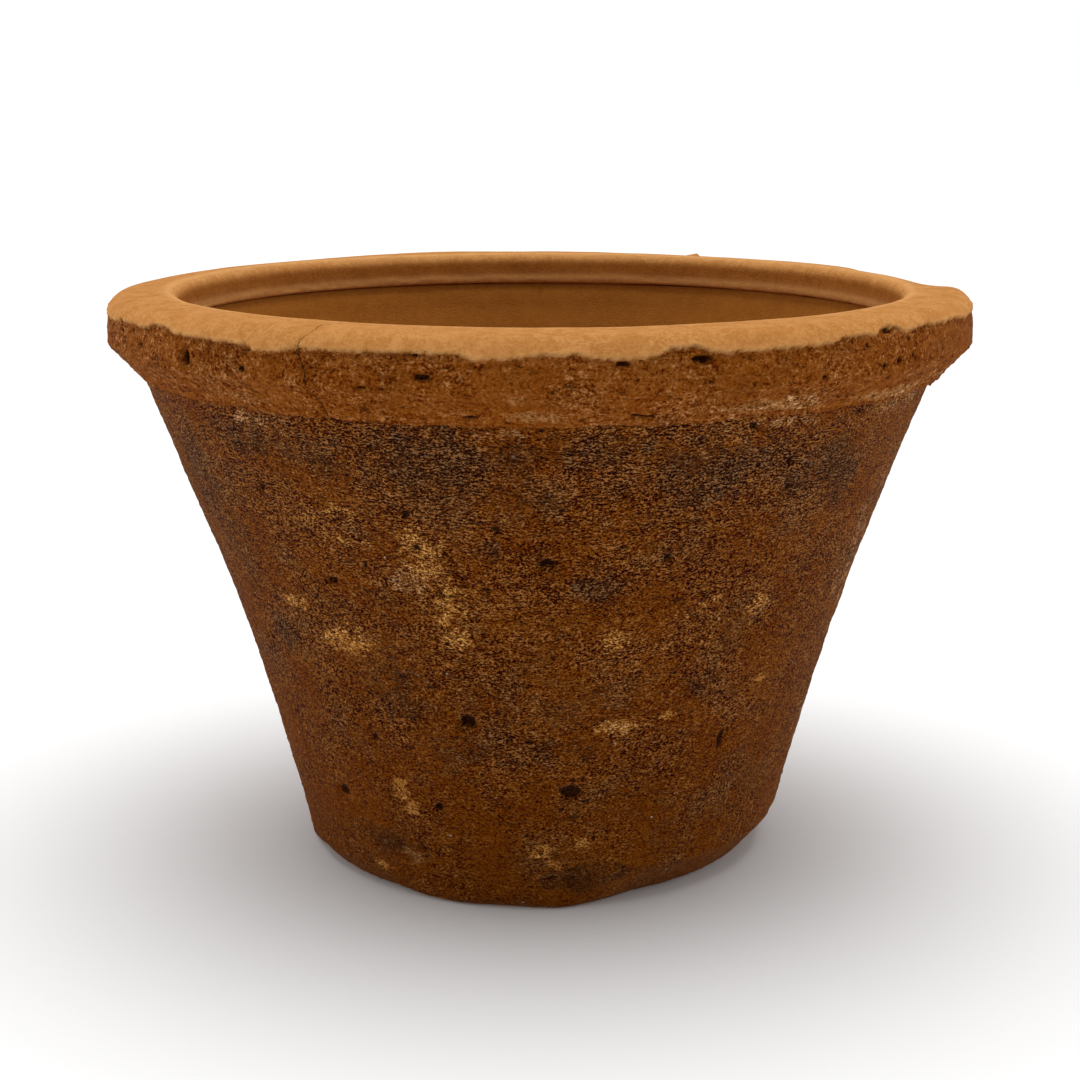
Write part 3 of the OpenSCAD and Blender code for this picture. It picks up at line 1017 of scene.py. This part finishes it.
# %% Paint the wiped skin and the crack
# RUBBED_HIGHLIGHT: painted highlight, partly rubbed clay. PINHOLE_SHADE: painted shade in pinholes.
# SLIP_HIGHLIGHT: pale slip with a painted highlight. The crack and hole colours are painted shade.
RUBBED_HIGHLIGHT, PINHOLE_SHADE, SLIP_HIGHLIGHT = (0.70, 0.38, 0.15), (0.16, 0.055, 0.014), (0.55, 0.31, 0.125)
CRACK_SHADE, HOLE_SHADE = (0.05, 0.013, 0.003), (0.012, 0.0025, 0.0008)


def wiped_skin(tree, place, mask, height, wiped, inside):
    """The colour of the clay that was wiped with a wet cloth."""
    mottle = noise_at(tree, place, 130.0, 6.0, 0.82)
    mottle = sums(tree, "MULTIPLY_ADD", sums(tree, "SUBTRACT", height, 0.5), 0.3, mottle)
    mottle = eased(tree, mottle, 0.25, 0.75)
    # The inner face is painted in the darker inside row.
    colour = paint(tree, row(tree, mottle, wiped), row(tree, mottle, inside), mask["damp"])
    # The mouth's edge and the bead get a painted highlight, partly rubbed pale clay.
    colour = paint(tree, colour, RUBBED_HIGHLIGHT, mask["worn"], 0.4)
    pinhole = placed(tree, speck, place, Spacing=9.0, Share=0.3, Width=0.04)
    # Pinholes are painted dark: painted shade in them.
    return paint(tree, colour, PINHOLE_SHADE, pinhole, 0.8)


def crack_mask(tree, place, mask):
    """The crack, fading out 0.17 mm to each side on the wiped skin and 0.41 mm on the rough one."""
    wander = sums(tree, "MULTIPLY_ADD", noise_at(tree, place, 420.0, 3.0, 0.7), 1.6, -0.8)
    aside = sums(tree, "ABSOLUTE", sums(tree, "ADD", mask["crack"], wander))
    return eased(tree, aside, sums(tree, "MULTIPLY_ADD", mask["rough"], 0.24, 0.17), 0.04)


# %% [markdown]
# Now the two clays are put together. The rough mask passes from one skin to the other at the torn edge.
# Holes and the crack come last and are painted nearly black, as painted shade. The grain, the crack and the
# clefts go into a Bump node too, for relief that is finer than the mesh. The body's clay is redder and
# rougher than the collar's.

# %% Fire the clays
BUMP_HEIGHT = 0.5 * MM
WARM_WHITE = (1.0, 0.86, 0.70, 1)


def fire(material, body, dry, wiped, inside, bloom, sheen, **grain_values):
    """Lays up a fired clay: a rough skin, a wiped skin, holes, a crack and their relief."""
    material.use_nodes = True
    tree = material.node_tree
    shader = tree.nodes["Principled BSDF"]
    place = add(tree, "ShaderNodeTexCoord").outputs["Object"]
    mask = {name: add(tree, "ShaderNodeAttribute", attribute_name=name).outputs["Fac"] for name in MASKS}
    height = grain_height(tree, place, **grain_values)
    outside, gaps = rough_skin(tree, place, mask, height, body, dry, bloom)
    colour = paint(tree, wiped_skin(tree, place, mask, height, wiped, inside), outside, mask["rough"])
    # The burr is painted pale: dried slip with a painted highlight along the torn edge.
    colour = paint(tree, colour, SLIP_HIGHLIGHT, mask["burr"], 0.6)
    split = crack_mask(tree, place, mask)
    # The crack is painted dark: painted shade in its groove.
    colour = paint(tree, colour, CRACK_SHADE, split, 0.65)
    # Pits, pores and the line under the torn edge are painted nearly black: painted shade.
    colour = paint(tree, colour, HOLE_SHADE, eased(tree, mask["pit"], 0.3, 0.9), 0.9)
    tree.links.new(colour, shader.inputs["Base Color"])
    tree.links.new(sums(tree, "MULTIPLY_ADD", height, 0.2, 0.75), shader.inputs["Roughness"])

    raised = times(tree, height, sums(tree, "MULTIPLY_ADD", mask["rough"], 0.84, 0.16))
    gaps = times(tree, gaps, times(tree, mask["rough"], 0.6))
    cuts = sums(tree, "ADD", times(tree, split, 0.6), gaps)
    values = {"Strength": 1.0, "Distance": BUMP_HEIGHT, "Height": sums(tree, "SUBTRACT", raised, cuts)}
    tree.links.new(add(tree, "ShaderNodeBump", values).outputs[0], shader.inputs["Normal"])
    shader.inputs["Specular IOR Level"].default_value = 0.02
    shader.inputs["Sheen Weight"].default_value = sheen
    shader.inputs["Sheen Roughness"].default_value = 0.3
    shader.inputs["Sheen Tint"].default_value = WARM_WHITE
    print(material.name, "has", len(tree.nodes), "nodes")


WALL_WIPED = ((0.29, 0.098, 0.0145), (0.36, 0.130, 0.021))
# Each body and dry row below runs from painted shade in the grain's hollows to a painted highlight on its
# tops.
fire(body_clay, wiped=WALL_WIPED, inside=WALL_WIPED,
     body=((0.010, 0.0002, 0.0000), (0.045, 0.0055, 0.0001), (0.087, 0.0205, 0.0003),
           (0.122, 0.0355, 0.0022), (0.185, 0.071, 0.0165)),
     dry=((0.014, 0.0006, 0.0000), (0.058, 0.0092, 0.0002), (0.108, 0.0290, 0.0012),
          (0.150, 0.0485, 0.0058), (0.22, 0.094, 0.027)),
     bloom=0.5, sheen=0.05, contrast=(3.0, 4.8), wrinkle=0.14, Sand=0.66, Streak=0.15, Flatness=1.7)
fire(rim_clay, wiped=((0.39, 0.155, 0.034), (0.54, 0.250, 0.078)),
     inside=((0.24, 0.075, 0.0110), (0.33, 0.114, 0.021)),
     body=((0.040, 0.0050, 0.0001), (0.094, 0.0200, 0.0008), (0.130, 0.0345, 0.0026),
           (0.160, 0.0480, 0.0070), (0.25, 0.100, 0.032)),
     dry=((0.054, 0.0085, 0.0003), (0.108, 0.0265, 0.0018), (0.150, 0.0450, 0.0065),
          (0.190, 0.0670, 0.0160), (0.29, 0.130, 0.050)),
     bloom=0.25, sheen=0.01, contrast=(3.8, 3.8), wrinkle=0.03, Sand=0.45, Streak=0.2, Flatness=1.2)

# %% [markdown]
# Each ring rides on the pot's one body and stands in for the CAD piece of the same place, which is hidden.

# %% Hand the rings over
for piece, node in ((wall, "wall"), (floor, "floor_disc"), (collar, "rim_collar")):
    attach(piece, "root")
    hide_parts(node)
    print(piece.name, "stands in for", node, "in", [material.name for material in piece.data.materials])

# %% [markdown]
# ## The studio
# The pot stands on a plain pale floor under one very soft light from above, as under a large diffuser. A
# sun lamp with a wide angle gives that light evenly, so that the floor stays the same pale tone to the
# horizon. The world adds a low glow from the left and the right, which picks out the flanks. The camera
# sees the world white.

# %% Lay the floor
FAR = 40
ground_mesh = bpy.data.meshes.new("ground")
ground_mesh.from_pydata([(-FAR, -FAR, 0), (FAR, -FAR, 0), (FAR, FAR, 0), (-FAR, FAR, 0)], [], [(0, 1, 2, 3)])
ground = shown("ground", ground_mesh)
pale = bpy.data.materials.new("pale_floor")
pale.use_nodes = True
pale_shader = pale.node_tree.nodes["Principled BSDF"].inputs
pale_shader["Base Color"].default_value = (0.86, 0.86, 0.86, 1)
pale_shader["Roughness"].default_value = 0.9
ground_mesh.materials.append(pale)
print("floor is", 2 * FAR, "metres wide")

# %% Set the lights
SIDE_GLOW, EVEN_GLOW = 2.5, 0.13
world = bpy.data.worlds.new("studio")
world.use_nodes = True
sky = world.node_tree
toward = add(sky, "ShaderNodeTexCoord").outputs["Generated"]
parts = add(sky, "ShaderNodeSeparateXYZ", {0: toward}).outputs
aside = sums(sky, "MULTIPLY", parts[0], parts[0])
low = sums(sky, "SUBTRACT", 1.0, sums(sky, "ABSOLUTE", parts[2]))
glow = sums(sky, "MULTIPLY_ADD", sums(sky, "MULTIPLY", aside, low), SIDE_GLOW, EVEN_GLOW)
to_camera = add(sky, "ShaderNodeLightPath").outputs["Is Camera Ray"]
sky.links.new(sums(sky, "MAXIMUM", glow, to_camera), sky.nodes["Background"].inputs["Strength"])
sky.nodes["Background"].inputs["Color"].default_value = (1, 1, 1, 1)
bpy.context.scene.world = world

diffuser = bpy.data.lights.new("diffuser", "SUN")
diffuser.energy = 2.8
diffuser.angle = math.radians(60)
shown("diffuser", diffuser).rotation_euler = (math.radians(-7), 0, 0)
bpy.context.scene.view_settings.view_transform = "Standard"
print("side glow", SIDE_GLOW, "and diffuser", round(diffuser.energy, 2))

# %% [markdown]
# The camera stands a little above the rim, 70 cm from the pot's axis, and looks 13 degrees down.

# %% Place the camera
eye = bpy.data.cameras.new("camera")
eye.lens = 65.75
eye.sensor_width = 36
camera = shown("camera", eye)
camera.location = (0, -0.6963, 0.2677)
look_down = 12.99
camera.rotation_euler = (math.radians(90 - look_down), 0, 0)
bpy.context.scene.camera = camera
print("camera looks", look_down, "degrees down")
